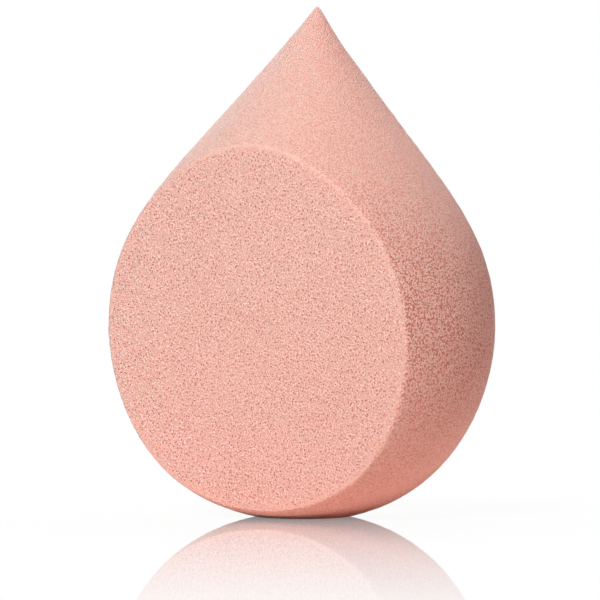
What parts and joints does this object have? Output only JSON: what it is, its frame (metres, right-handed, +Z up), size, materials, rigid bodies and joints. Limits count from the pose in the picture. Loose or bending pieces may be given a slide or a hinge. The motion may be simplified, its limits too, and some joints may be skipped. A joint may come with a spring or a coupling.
{
  "type": "makeup sponge",
  "caption": "Teardrop makeup sponge of soft pink foam with a pointed tip, a round belly and one slanted flat slice, used to dab and blend cosmetics on skin.",
  "frame": {"origin": "middle of the small flat foot that the sponge stands on", "axes": "+Z up from the foot towards the tip, -Y the way the flat slice faces, X across the slice"},
  "size_m": [0.0454, 0.0352, 0.06],
  "materials": {
    "foam": "matte"
  },
  "bodies": {
    "root": {"foam_body": "foam"}
  },
  "joints": []
}
